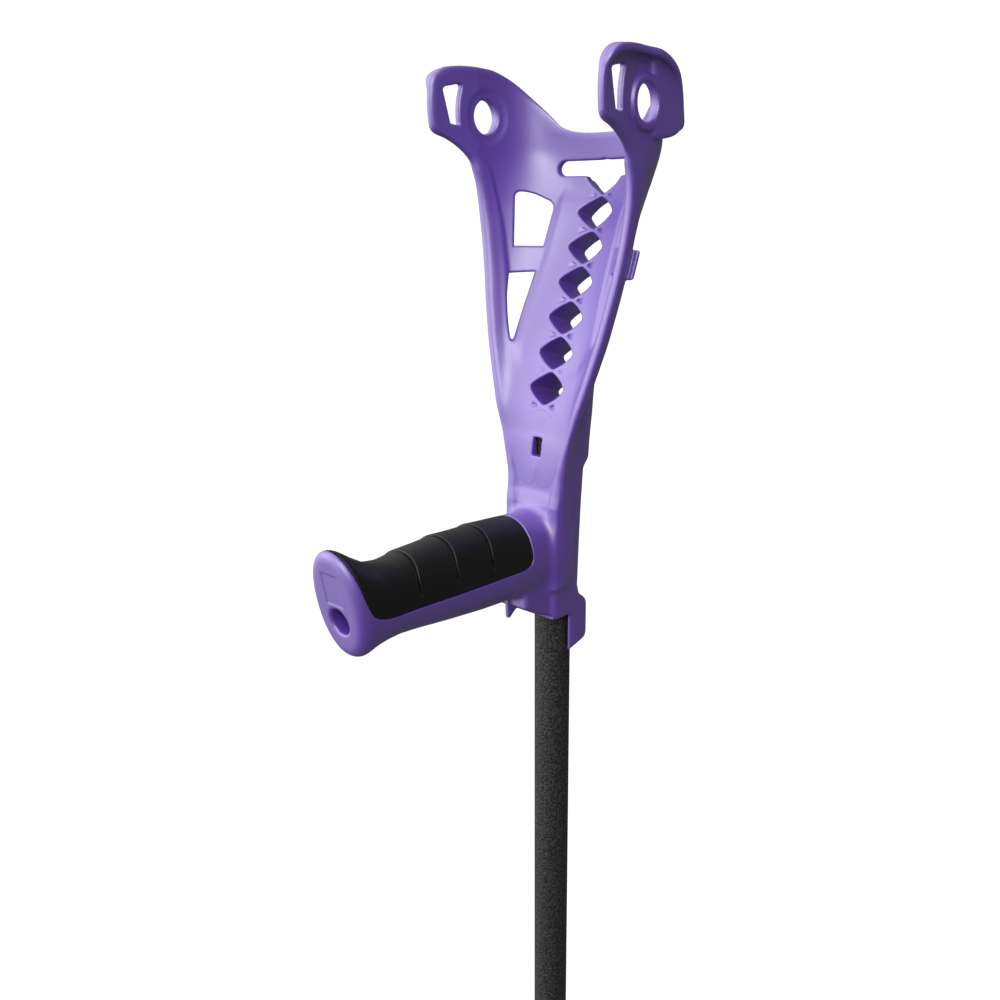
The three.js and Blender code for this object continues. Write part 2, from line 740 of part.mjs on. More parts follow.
function heightCollar() {
  const bore = UPPER_RADIUS + FIT_GAP;
  const bush = BUSH_RADIUS + FIT_GAP;
  const body = turned([
    [LOWER_RADIUS + 0.6, COLLAR_BOTTOM],
    [COLLAR_RADIUS - 1.2, COLLAR_BOTTOM],
    [COLLAR_RADIUS, COLLAR_BOTTOM + 1.2],
    [COLLAR_RADIUS, COLLAR_TOP - 6],
    [UPPER_RADIUS + 1.2, COLLAR_TOP],
    [bore, COLLAR_TOP],
    [bore, UPPER_BOTTOM - FIT_GAP],
    [bush, UPPER_BOTTOM - FIT_GAP],
    [bush, COLLAR_BOTTOM + 2],
    [LOWER_RADIUS + 0.6, COLLAR_BOTTOM + 2],
  ]);
  const grooves = sideRails(-9, 7, COLLAR_RADIUS - 1.4, 2.1);
  return body.subtract(pinPassage(5, 20)).subtract(grooves);
}

function antiRattleBush() {
  const bottom = COLLAR_BOTTOM + 2 + FIT_GAP;
  const top = UPPER_BOTTOM - 2 * FIT_GAP;
  const bore = LOWER_RADIUS + SLIDE_GAP;
  return turned([[bore, bottom], [BUSH_RADIUS, bottom], [BUSH_RADIUS, top], [bore, top]]);
}

function lockClip() {
  const inner = COLLAR_RADIUS + FIT_GAP;
  const outer = inner + CLIP_WALL;
  const bottom = LOCK_HEIGHT - CLIP_HEIGHT / 2;
  const top = LOCK_HEIGHT + CLIP_HEIGHT / 2;
  const outline = new THREE.Shape();
  outline.moveTo(outer, -9);
  outline.absarc(0, 0, outer, 0, Math.PI, false);
  outline.lineTo(-outer, -9);
  outline.lineTo(-inner, -9);
  outline.absarc(0, 0, inner, Math.PI, 0, true);
  outline.lineTo(inner, -9);
  outline.closePath();
  const geometry = new THREE.ExtrudeGeometry(outline, { depth: top - bottom, bevelEnabled: false, curveSegments: 28 });
  const band = solidOf(geometry.translate(0, 0, bottom));
  const pull = sidePrism(smoothShape([
    [outer - 1, bottom],
    [outer + 2.2, bottom],
    [outer + 6, bottom + 1, outer + 6, bottom + 2.4],
    [outer + 3, bottom + 4],
    [outer - 1, bottom + 4.4],
  ]), -7, 7);
  const shoulder = inner - 1;
  const rails = sideRails(-8, -1, shoulder, 1.7);
  const trimmed = rails.intersect(box([2 * outer - 0.4, 60, 20], [0, 0, LOCK_HEIGHT]));
  return band.add(pull).add(trimmed).subtract(pinPassage(5, outer + 3));
}

function lockPin() {
  const seat = COLLAR_RADIUS + FIT_GAP + CLIP_WALL + FIT_GAP;
  const tip = LOWER_BORE - 1.4;
  const pin = turned([
    [0, tip],
    [PIN_RADIUS - 0.6, tip],
    [PIN_RADIUS, tip + 0.6],
    [PIN_RADIUS, seat],
    [PIN_HEAD_RADIUS, seat],
    [PIN_HEAD_RADIUS - 0.6, seat + 1.5],
    [0, seat + 1.5],
  ], SMALL_ROUND);
  return pin.rotate([-90, 0, 0]).translate(0, 0, LOCK_HEIGHT);
}

// ---- Assembly -----------------------------------------------------------------------------------------
const PURPLE = { color: 0x7446c4, roughness: 0.45, metalness: 0 };
const SOFT_BLACK = { color: 0x1b1b1c, roughness: 0.6, metalness: 0 };
const COATED_BLACK = { color: 0x2b2827, roughness: 0.7, metalness: 0.2 };
const HARD_BLACK = { color: 0x202022, roughness: 0.5, metalness: 0 };
const ALUMINIUM = { color: 0xc3c6ca, roughness: 0.3, metalness: 1 };
const STEEL = { color: 0xa9acb0, roughness: 0.35, metalness: 1 };
const RUBBER = { color: 0x2e2e30, roughness: 0.9, metalness: 0 };

function piece(name, solid, look) {
  const mesh = new THREE.Mesh(geometryOf(solid), new THREE.MeshStandardMaterial(look));
  mesh.name = name;
  return mesh;
}

const crutch = new THREE.Group();

const head = new THREE.Group();
head.position.z = HOUSING_DATUM;
head.add(piece('cuff_handle_moulding', cuffHandleMoulding(), PURPLE));
head.add(piece('grip_cover', gripCover(), SOFT_BLACK));
head.add(piece('tube_retaining_screw', retainingScrew(), STEEL));
crutch.add(head);

crutch.add(piece('upper_tube', upperTube(), COATED_BLACK));
crutch.add(piece('tube_top_plug', tubeTopPlug(), HARD_BLACK));
crutch.add(piece('height_collar', heightCollar(), HARD_BLACK));
crutch.add(piece('anti_rattle_bush', antiRattleBush(), HARD_BLACK));
crutch.add(piece('lock_clip', lockClip(), HARD_BLACK));
crutch.add(piece('lock_pin', lockPin(), STEEL));
crutch.add(piece('lower_tube', lowerTube(), ALUMINIUM));
crutch.add(piece('glide_sleeve', glideSleeve(), HARD_BLACK));
crutch.add(piece('foot_plug', footPlug(), HARD_BLACK));
crutch.add(piece('ferrule', ferrule(), RUBBER));
crutch.add(piece('ferrule_washer', ferruleWasher(), STEEL));

export default crutch;
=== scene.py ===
"""Forearm crutch with an open cuff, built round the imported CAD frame.

Shapes are worked out in millimetres and turned into metres when a mesh is made. The moulding and
the grip cover are blended solids: each is a distance field (negative inside) that is meshed on a
grid and then pulled onto its surface. They replace their CAD nodes. The other twelve nodes keep
their CAD shape and get a material. The axes are the frame's: x across, -y forwards, z up, and a
shape's z counts from the foot of the moulding.
"""
import math

import bpy
import numpy as np
from mathutils import Matrix, Vector


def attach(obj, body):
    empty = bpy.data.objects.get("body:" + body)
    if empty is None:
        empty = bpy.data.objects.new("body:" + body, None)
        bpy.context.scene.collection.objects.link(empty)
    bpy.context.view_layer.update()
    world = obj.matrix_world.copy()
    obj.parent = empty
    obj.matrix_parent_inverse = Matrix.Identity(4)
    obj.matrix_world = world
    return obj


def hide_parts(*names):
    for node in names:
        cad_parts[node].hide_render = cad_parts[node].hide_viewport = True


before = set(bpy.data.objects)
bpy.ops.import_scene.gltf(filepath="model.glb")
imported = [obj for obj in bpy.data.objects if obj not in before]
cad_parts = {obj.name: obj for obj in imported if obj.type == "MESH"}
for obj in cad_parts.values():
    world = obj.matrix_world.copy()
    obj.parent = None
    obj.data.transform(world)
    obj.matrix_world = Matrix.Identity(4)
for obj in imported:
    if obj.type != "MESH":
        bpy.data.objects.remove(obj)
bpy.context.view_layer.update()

HEAD = 667.0  # height of the moulding's own zero above the floor
MM = 0.001

# ---- Smooth tables and outlines -------------------------------------------------------------


def curve_of(table, soften):
    """Columns of a station table as functions of its first column, softened over a length."""
    keys = [row[0] for row in table]
    grid = np.arange(keys[0], keys[-1] + 0.25, 0.5)
    half = max(1, int(soften))
    kernel = np.hanning(2 * half + 3)[1:-1]
    kernel /= kernel.sum()
    columns = []
    for c in range(1, len(table[0])):
        values = np.interp(grid, keys, [row[c] for row in table])
        start = values[0] - (values[1] - values[0]) * np.arange(half, 0, -1)
        end = values[-1] + (values[-1] - values[-2]) * np.arange(1, half + 1)
        columns.append(np.convolve(np.concatenate([start, values, end]), kernel, "valid"))
    return lambda t: [np.interp(t, grid, column) for column in columns]


def quadratic_outline(points, count=10):
    """Closed outline. Two numbers are the end of a line, four a curve's control point and end."""
    path = [np.array(points[0], float)]
    for point in points[1:]:
        if len(point) == 2:
            path.append(np.array(point, float))
            continue
        start, control, end = path[-1], np.array(point[:2], float), np.array(point[2:], float)
        for i in range(1, count + 1):
            t = i / count
            path.append((1 - t) ** 2 * start + 2 * t * (1 - t) * control + t * t * end)
    return np.array(path)


class Outline:
    """Signed distance to a closed outline, sampled once on a fine grid."""

    def __init__(self, points, margin=14.0, cell=0.4):
        path = quadratic_outline(points)
        self.low = path.min(0) - margin
        self.cell = cell
        size = np.ceil((path.max(0) + margin - self.low) / cell).astype(int) + 1
        u = self.low[0] + cell * np.arange(size[0])
        v = self.low[1] + cell * np.arange(size[1])
        grid = np.stack(np.meshgrid(u, v, indexing="ij"), -1)
        best = np.full(grid.shape[:2], 1e9)
        inside = np.zeros(grid.shape[:2], bool)
        for a, b in zip(path, np.roll(path, -1, axis=0)):
            edge = b - a
            length = float(edge @ edge)
            if length < 1e-12:
                continue
            along = np.clip(((grid - a) @ edge) / length, 0, 1)
            best = np.minimum(best, ((grid - a - along[..., None] * edge) ** 2).sum(-1))
            crosses = (a[1] > grid[..., 1]) != (b[1] > grid[..., 1])
            if a[1] != b[1]:
                at = a[0] + (grid[..., 1] - a[1]) / (b[1] - a[1]) * edge[0]
                inside ^= crosses & (grid[..., 0] < at)
        values = np.sqrt(best)
        self.values = np.where(inside, -values, values)

    def __call__(self, u, v):
        size = self.values.shape
        fu = np.clip((u - self.low[0]) / self.cell, 0, size[0] - 1.001)
        fv = np.clip((v - self.low[1]) / self.cell, 0, size[1] - 1.001)
        iu, iv = fu.astype(int), fv.astype(int)
        tu, tv = fu - iu, fv - iv
        g = self.values
        low = g[iu, iv] * (1 - tu) + g[iu + 1, iv] * tu
        high = g[iu, iv + 1] * (1 - tu) + g[iu + 1, iv + 1] * tu
        return low * (1 - tv) + high * tv


def union(a, b, r=0.0):
    if r <= 0:
        return np.minimum(a, b)
    h = np.maximum(r - np.abs(a - b), 0) / r
    return np.minimum(a, b) - h * h * r / 4


def common(a, b, r=0.0):
    return -union(-a, -b, r)


def cut(a, b, r=0.0):
    return common(a, -b, r)


def smoothstep(t, low, high):
    s = np.clip((t - low) / (high - low), 0, 1)
    return s * s * (3 - 2 * s)


def superellipse(u, v, power):
    """Level of a rounded oblong: zero where u and v, as shares of its half sizes, meet its edge."""
    return (u ** power + v ** power + 1e-9) ** (1 / power) - 1


def true_distance(level, x, y, z, h=0.05):
    """A level function over its slope: close to a distance near the surface."""
    f = level(x, y, z)
    gx = (level(x + h, y, z) - f) / h
    gy = (level(x, y + h, z) - f) / h
    gz = (level(x, y, z + h) - f) / h
    return f / np.maximum(np.sqrt(gx * gx + gy * gy + gz * gz), 1e-3)


# ---- Meshing a field ------------------------------------------------------------------------


FAR = 9.0  # stands for the field where the surface is out of reach
PULLS = 3
SLOPE_STEP = 0.12


def in_chunks(field, points, size=300000):
    out = np.empty(len(points))
    for i in range(0, len(points), size):
        part = points[i:i + size]
        out[i:i + size] = field(part[:, 0], part[:, 1], part[:, 2])
    return out


def sampled_field(field, low, high, cell, reach):
    """Values on a grid. A coarse grid finds where the fine one has to be worked out."""
    coarse_cell = cell * reach
    coarse_size = np.ceil((high - low) / coarse_cell).astype(int) + 1
    middles = [np.arange(count) + 0.5 - 0.5 / reach for count in coarse_size]
    axes = [low[i] + coarse_cell * middles[i] for i in range(3)]
    grid = np.stack(np.meshgrid(*axes, indexing="ij"), -1).reshape(-1, 3)
    coarse = in_chunks(field, grid).reshape(coarse_size)
    near = np.abs(coarse) < coarse_cell * 1.25 + 0.5
    values = np.where(coarse < 0, -FAR, FAR).astype(np.float32)
    for axis in range(3):
        near = np.repeat(near, reach, axis=axis)
        values = np.repeat(values, reach, axis=axis)
    values[near] = in_chunks(field, low + cell * np.argwhere(near))
    return values


def crossed_cells(values):
    """Cells that the surface runs through, and the mean of the places where it crosses their edges."""
    inside = values < 0
    corners = [(i, j, k) for i in (0, 1) for j in (0, 1) for k in (0, 1)]
    count = np.zeros([n - 1 for n in values.shape], np.int8)
    for corner in corners:
        count += inside[tuple(slice(o, n - 1 + o) for o, n in zip(corner, values.shape))]
    cells = np.argwhere((count > 0) & (count < 8))
    total = np.zeros((len(cells), 3))
    hits = np.zeros(len(cells))
    for a in corners:
        for axis in range(3):
            if a[axis]:
                continue
            b = tuple(1 if i == axis else v for i, v in enumerate(a))
            va = values[tuple((cells + a).T)]
            vb = values[tuple((cells + b).T)]
            crossed = (va < 0) != (vb < 0)
            t = np.where(crossed, va / np.where(crossed, va - vb, 1), 0)
            point = np.array(a, float) + np.zeros((len(cells), 3))
            point[:, axis] += t
            total += np.where(crossed[:, None], point, 0)
            hits += crossed
    return cells, cells + total / hits[:, None]


def cell_quads(inside, cells):
    """One quad of cells round each grid edge that the surface crosses, turned to face outwards."""
    size = inside.shape
    index = np.full([n - 1 for n in size], -1, np.int32)
    index[tuple(cells.T)] = np.arange(len(cells))
    faces = []
    for axis in range(3):
        j, k = [(1, 2), (2, 0), (0, 1)][axis]
        step = np.eye(3, dtype=int)
        first = inside[tuple(slice(1, n - 1) for n in size)]
        moved = inside[tuple(slice(1 + s, n - 1 + s) for s, n in zip(step[axis], size))]
        edges = np.argwhere(first != moved) + 1
        out = inside[tuple(edges.T)]
        ring = [edges - step[j] - step[k], edges - step[k], edges, edges - step[j]]
        quad = np.stack([index[tuple(c.T)] for c in ring], 1)
        quad[~out] = quad[~out][:, ::-1]
        faces.append(quad)
    faces = np.concatenate(faces)
    return faces[(faces >= 0).all(1)]


def pulled_onto(field, vertices, cell):
    """Points moved along the field's slope until they lie on its surface."""
    for _ in range(PULLS):
        f = in_chunks(field, vertices)
        slope = np.empty_like(vertices)
        for axis in range(3):
            offset = np.zeros(3)
            offset[axis] = SLOPE_STEP
            ahead = in_chunks(field, vertices + offset)
            slope[:, axis] = (ahead - in_chunks(field, vertices - offset)) / (2 * SLOPE_STEP)
        square = np.maximum((slope ** 2).sum(1), 0.15)
        move = -(f / square)[:, None] * slope
        length = np.linalg.norm(move, axis=1)
        move *= np.minimum(1, 0.5 * cell / np.maximum(length, 1e-9))[:, None]
        vertices = vertices + move
    return vertices


def field_surface(field, low, high, cell, reach=4):
    """Points and quads on the zero surface of a field, inside a box."""
    low, high = np.array(low, float), np.array(high, float)
    values = sampled_field(field, low, high, cell, reach)
    cells, places = crossed_cells(values)
    return pulled_onto(field, low + cell * places, cell), cell_quads(values < 0, cells)


def mesh_piece(name, vertices, faces, material, smooth=True, lift=0.0):
    """Object from points in millimetres and faces given as an array of quads or a list."""
    mesh = bpy.data.meshes.new(name)
    points = np.asarray(vertices, float) * MM
    points[:, 2] += lift * MM
    if isinstance(faces, np.ndarray):
        mesh.vertices.add(len(points))
        mesh.vertices.foreach_set("co", points.ravel())
        mesh.loops.add(faces.size)
        mesh.loops.foreach_set("vertex_index", faces.ravel().astype(np.int32))
        mesh.polygons.add(len(faces))
        starts = np.arange(0, faces.size, faces.shape[1], dtype=np.int32)
        mesh.polygons.foreach_set("loop_start", starts)
        mesh.update(calc_edges=True)
    else:
        mesh.from_pydata([tuple(p) for p in points], [], faces)
    mesh.validate()
    mesh.polygons.foreach_set("use_smooth", [smooth] * len(mesh.polygons))
    mesh.materials.append(material)
    piece = bpy.data.objects.new(name, mesh)
    bpy.context.scene.collection.objects.link(piece)
    return piece


# ---- Moulding and grip: sizes ---------------------------------------------------------------
WALL = 4.0
TROUGH = [  # height, outer half width, front y, floor y, roundness
    (60, 17.0, -15.2, -15.2, 1.5), (86, 17.2, -15.2, -15.2, 1.5), (98, 18.2, -15.1, -15.0, 1.5),
    (115, 22.2, -15.9, -12.5, 1.7), (130, 27.0, -15.0, -8.3, 1.9), (150, 33.0, -12.6, -1.4, 2.1),
    (170, 38.5, -9.7, 7.0, 1.95), (190, 42.7, -7.0, 16.2, 1.78), (210, 46.3, -4.3, 25.9, 1.64),
    (230, 49.4, -3.5, 35.2, 1.6), (240, 50.4, -4.0, 39.4, 1.8), (250, 51.0, -5.0, 40.4, 2.15),
    (262, 51.4, -5.0, 39.0, 2.8), (275, 51.4, -4.0, 37.5, 3.0), (310, 51.4, -4.0, 37.5, 3.0),
]
HOUSING = [  # height, half width of the front, front y, radius of the back, y of its centre
    (0, 14.5, -16.0, 13.3, 0), (24, 15.8, -16.4, 13.4, 0), (34, 16.4, -17.0, 13.6, 0),
    (60, 16.8, -17.5, 14.3, 0), (80, 17.2, -16.6, 15.0, 0), (100, 18.3, -15.0, 16.0, 0),
    (115, 20.8, -14.0, 17.2, 0.5), (130, 21.5, -11.0, 18.6, 1.5), (145, 19.0, -5.5, 17.8, 3.5),
    (160, 16.5, 2.5, 15.2, 9.5), (170, 14.5, 8, 13.2, 15),
]
SPINE = [  # height, y of the back
    (100, 14.5), (112, 14.8), (128, 15.3), (141, 17.2), (228, 45.2), (246, 48.6), (254, 49.4),
]
HANDLE = [  # forward, top, bottom, half width, share of the end's tilt
    (0, 78.0, 38.0, 15.5, 0), (14, 79.5, 37.0, 16.8, 0), (30, 81.5, 37.5, 17.6, 0),
    (45, 82.5, 38.0, 18.0, 0), (65, 83.2, 39.0, 18.0, 0), (88, 83.4, 41.0, 17.6, 0),
    (108, 81.9, 43.0, 16.6, 0.2), (120, 80.6, 43.8, 16.0, 0.45), (129, 82.0, 43.4, 16.4, 0.7),
    (137, 87.5, 42.0, 16.9, 0.9), (142.5, 92.3, 40.1, 17.2, 1), (147, 93.6, 39.3, 17.2, 1),
    (152, 93.8, 39.2, 17.2, 1),
]
trough_at = curve_of(TROUGH, 12)
housing_at = curve_of(HOUSING, 10)
spine_at = curve_of(SPINE, 6)
handle_at = curve_of(HANDLE, 7)

HANDLE_POWER = 2.1  # 2 is an ellipse
HANDLE_END = 149.0
END_TILT = 0.19
TILT_HEIGHT = 66  # the handle's end leans about this height

# outlines seen from the side are (y, z), the diamond and the V are (x, z)
# and the two windows are (place across the wing, z)
RIM = [
    (-33.4, 298.5, -24, 301.4), (-13, 303.7, 4, 302.4), (18.5, 301, 27, 291.4), (33, 285, 35.3, 278),
    (37.6, 270, 44, 268.8),
]
cuff_outline = Outline([
    (-17.4, 40), (-17.4, 84), (-16, 91), (-15.6, 99), (-16.2, 118, -14.2, 138), (-10, 168, -6.6, 192),
    (-3.2, 212, -3.4, 232), (-3.6, 251, -9.5, 258.2), (-15.5, 265, -27, 269),
    (-32.4, 270.4, -33.2, 274.5), (-34.6, 284, -33.4, 291), *RIM, (70, 268.8), (70, 40),
], margin=12)
skirt_outline = Outline([
    (6, 312), (8, 270), (8.6, 264.0, 14, 264), (25, 265, 30, 267.2), (39, 271.5, 42, 282),
    (43.5, 288, 43.5, 312),
])
tab_outline = Outline([(2, 200.3), (20, 200.3), (22, 212.5), (5, 214.3)])
diamond_outline = Outline([
    (10, 1.6), (7.2, 4.9, 2.2, 7.6), (0, 9.2, -2.2, 7.6), (-7.2, 4.9, -10, 1.6), (-11.7, 0, -10, -1.6),
    (-7.2, -4.9, -2.2, -7.6), (0, -9.2, 2.2, -7.6), (7.2, -4.9, 10, -1.6), (11.7, 0, 10, 1.6),
])
upper_window = Outline([
    (-18.6, 214.8), (-3.0, 214.6), (2.0, 231), (4.7, 237, -1.2, 238.6), (-7, 242.2, -14, 242.6),
    (-17.6, 242.6, -17.6, 239),
])
lower_window = Outline([
    (-21.6, 200.8), (-7.7, 201.4), (-14.1, 184), (-19.8, 167.2), (-21, 165.8, -21.6, 168),
    (-23, 176, -22.8, 190),
])
slot_outline = Outline([
    (-26.2, 291), (-25.6, 292.4, -24.1, 292.7), (-16.4, 294.2), (-14.5, 294.6, -14.7, 292.5),
    (-17.5, 285, -16.5, 275.8), (-16.5, 274.6, -17.9, 274.8), (-22, 275.6),
])
v_opening = Outline([(-15.5, 251.5), (-8.6, 249.0), (0, 240.4), (8.6, 249.0), (15.5, 251.5), (0, 256)])
fin_outline = Outline([(-38.3, 48), (-37.6, 26), (-36.5, 25.2), (-29, 31), (-24, 34), (-20, 48)])
tongue_outline = Outline([
    (6, 34), (8, 29.5), (14, 25), (17.9, 21.6, 18.9, 17.4), (19.4, 14, 18.8, 11), (17.8, 5.4),
    (17, 2.8, 13.4, 1), (-0.5, -2.4), (-0.5, 34),
])
web_outline = Outline([
    (-36, 50), (-36, 33), (-30, 28.5, -24.6, 26.4), (-16, 22.2, -8, 20.4), (0, 20), (0, 50),
])
grip_outline = Outline([
    (-36, 110), (-36, 64), (-36, 58, -44, 58), (-122, 59), (-136, 59, -141, 64),
    (-144.5, 69, -146.2, 77), (-150.2, 92), (-151.5, 110),
])

# the crease behind the windows: heights, and places across the wing
CREASE = [(140, 166, 184, 201, 215, 231, 245), (-27.5, -19.4, -12.6, -5.9, -1.4, 3.6, 7.0)]
DIAGONAL = math.sqrt(0.5)
PADDLE_HOLE = (2.4, 279.5)  # y and z of its centre
PADDLE_HOLE_RADIUS = 8.3
BOSS_RADIUS, DISH_RADIUS = 12.2, 13.5
PADDLE_INSIDE = 30.0  # cuts through a paddle start this far out
BACK_SLOT_HEIGHT = 254.0
HOOD_HALF, HOOD_DEPTH, HOOD_POWER = 52.9, 50.0, 6.0
HOUSING_FOOT, HOUSING_TOP = 20.3, 168.0
TUBE_BORE = 10.15
TUBE_TOP = 120.2
SCREW_HEIGHT = 46.0
END_HOLE_HEIGHT = 58.5
DIAMOND_PITCH = 19.2
LATTICE_LEAN = math.radians(23.8)
LATTICE_FOOT = (-3.7, 143.5)  # y and z of the lowest diamond's centre
HOLE_TILT = math.radians(15)  # of the diamonds' walls, from level
LATTICE_STEP = DIAMOND_PITCH * math.cos(LATTICE_LEAN - HOLE_TILT)
LAST_DIAMOND = 6  # the seventh one opens into the V and the back slot


def wing_flare(y, z, front):
    """How much further out the wings lean in front of the trough, near the cuff's top."""
    return 5.5 * smoothstep(z, 238, 266) * np.clip((front - y) / (front + 50), 0, 1)


def wing_place(x, y):
    """Place across the wing, and inwards from it, as seen along the windows' diagonal."""
    return (y - np.abs(x)) * DIAGONAL, (-np.abs(x) - y) * DIAGONAL


def paddle_hole_distance(y, z):
    return np.hypot(y - PADDLE_HOLE[0], z - PADDLE_HOLE[1])


def trough_level(x, y, z):
    """Zero on the middle of the wall of the trough and the cuff, which has one section per height."""
    width, front, floor, power = trough_at(z)
    half = width - WALL / 2
    depth = floor + WALL / 2 - front
    across = np.abs(x) / (half + wing_flare(y, z, front))
    along = np.maximum(y - front, 0) / np.maximum(depth, 1.5)
    return superellipse(across, along, power)


def housing_distance(x, y, z):
    """Housing round the tube: a flat front, a round back and flat sides that run onto it."""
    half, front, radius, centre = housing_at(z)
    side = half - 0.4
    corner = front + 1.0
    nx = centre - corner
    ny = side - radius
    flat_side = ((np.abs(x) - side) * nx + (y - corner) * ny) / np.hypot(nx, ny)
    round_back = np.hypot(x, y - centre) - radius
    return common(np.where(y > centre, round_back, flat_side), front - y, 5)


def handle_forward(y, z):
    """Place along the handle. It is the same all over the leaning end."""
    forward = -y
    for _ in range(2):
        forward = -y - handle_at(forward)[3] * END_TILT * (z - TILT_HEIGHT)
    return forward


def handle_level(x, y, z):
    top, bottom, half, _ = handle_at(handle_forward(y, z))
    up = (z - (top + bottom) / 2) / ((top - bottom) / 2)
    return superellipse(np.abs(x) / half, np.abs(up), HANDLE_POWER)


def handle_distance(x, y, z):
    body = true_distance(handle_level, x, y, z)
    body = common(body, handle_forward(y, z) - HANDLE_END, 6.5)
    return common(body, y + 4, 2)


def hood_distance(x, y, z, spread):
    """Face of the skirt round the rear corners. It runs straighter than the wall inside it."""

    def level(x, y, z):
        across = np.abs(x) / (HOOD_HALF + spread * smoothstep(z, 278, 298))
        return superellipse(across, np.maximum(y + 4, 0) / HOOD_DEPTH, HOOD_POWER)

    return true_distance(level, x, y, z)


def rim_bead(trough, edge, z):
    """The free edges are rolled over into a broad soft bead, on the inside more than outside."""
    rolled = np.abs(trough + 0.8) - WALL / 2 - 1.0
    bead = common(common(rolled, edge, 3.6), -edge - 9.0, 3.0)
    return bead + 4 * (1 - smoothstep(z, 104, 136)) + 4 * smoothstep(z, 252, 266)


def rim_lip(trough, edge, x, y, z):
    """Lip that curls outwards all along the top rim."""
    reach = 4.0 * np.maximum(smoothstep(z, 287, 300), smoothstep(y, -8, 10))
    outer = hood_distance(x, y, z, 3.4) + 8 * smoothstep(8 - y, 0, 16)
    outer = union(trough - WALL / 2 - reach, outer, 5)
    lip = common(outer, -trough - WALL / 4, 1.0)
    return common(common(lip, edge, 2.2), -edge - 3.8, 1.6) + 6 * (1 - smoothstep(z, 262, 272))


def corner_skirt(edge, x, y, z):
    """Skirt that hangs from the lip round the rear corners."""
    face = hood_distance(x, y, z, 0.0)
    border = common(skirt_outline(y, z), edge, 1.5)
    return common(common(face, -face - 3.0, 0.6), border, 2.6)


def trough_pad(trough, edge, x, y, z):
    """The trough's floor is a little thicker than the wings, as far as their crease."""
    crease = wing_place(x, y)[0] - np.interp(z, *CREASE)
    pad = common(common(np.abs(trough + 0.6) - WALL / 2 - 0.4, 0.4 - crease, 2.4), edge + 3, 1.0)
    return pad + 3 * smoothstep(z, 236, 252) + 3 * (1 - smoothstep(z, 132, 158))


def cuff_field(x, y, z):
    """The cuff, wings and trough before their openings, and the distance to their wall's middle."""
    trough = true_distance(trough_level, x, y, z)
    edge = cuff_outline(y, z)
    width, front = trough_at(z)[:2]
    beyond = np.abs(x) - width - wing_flare(y, z, front)
    shell = common(np.abs(trough) - WALL / 2, edge, 3.0)
    shell = union(shell, rim_bead(trough, edge, z), 2.2)
    shell = common(shell, beyond - 0.4, 2.0)
    shell = union(shell, corner_skirt(edge, x, y, z), 2.6)
    shell = union(shell, rim_lip(trough, edge, x, y, z), 1.8)
    # tab outside each window bar
    tab = common(common(trough - 5.8, -trough, 0.3), tab_outline(y, z), 1.2)
    shell = union(shell, tab, 0.9)
    # boss round each paddle hole outside, soft dish inside
    around = paddle_hole_distance(y, z)
    boss = common(common(trough - WALL / 2 - 1.7, -trough, 0.5), around - BOSS_RADIUS, 1.2)
    shell = union(shell, boss, 1.4)
    dish = common(np.abs(trough + WALL / 2 + 2.6) - 3.4, around - DISH_RADIUS, 3.0)
    shell = cut(shell, dish, 1.2)
    shell = union(shell, trough_pad(trough, edge, x, y, z), 1.0)
    # the foot of the trough is filled flush with its front edges and runs on into the handle
    foot = common(common(edge + 0.1, np.abs(x) - width - 0.1, 3), y + 6, 2)
    foot = foot + 4 * smoothstep(z, 84, 114)
    return union(shell, common(foot, z - 118, 4), 4), trough


def lattice_rise(y, z):
    """Height above the centre of the lowest diamond, along the line of the diamonds."""
    return (y - LATTICE_FOOT[0]) * math.sin(HOLE_TILT) + (z - LATTICE_FOOT[1]) * math.cos(HOLE_TILT)


def lattice_relief(body, trough, x, y, z):
    """Ribs, hollows and a chevron on the floor of the trough, between the diamonds."""
    rise = lattice_rise(y, z)
    # ribs that cross between the diamonds
    crossing = np.clip(np.round(rise / LATTICE_STEP - 0.5), -1, 5) + 0.5
    up = rise - crossing * LATTICE_STEP
    ribs = np.abs(np.abs(x) * 8.7 - np.abs(up) * 11.6) / 14.5 - 0.55
    lowest = crossing < 0
    ribs = np.where(lowest & (up > 0.8), 3.0, ribs)
    ribs = common(ribs, np.abs(x) - np.where(lowest, 12.5, 6.6), 0.5)
    ribs = common(ribs, np.abs(trough + 0.3) - 2.3, 0.5)
    body = union(body, ribs, 0.7)
    # small wedge-shaped hollows on both sides of each crossing
    hollow = common(np.abs(up) - 0.5 * (np.abs(x) - 3.3), np.abs(x) - 7.6, 0.4)
    sunk = trough + WALL / 2 + 0.9 - np.clip((7.6 - np.abs(x)) * 0.4, 0, 1.5)
    body = cut(body, common(hollow, sunk, 0.2), 0.25)
    # chevron under the lowest crossing
    chevron = common(np.abs(rise + 11.4 + 0.45 * np.abs(x)) - 0.35, np.abs(x) - 11, 0.3)
    return cut(body, common(chevron, trough + WALL / 2 - 0.6, 0.2), 0.3)


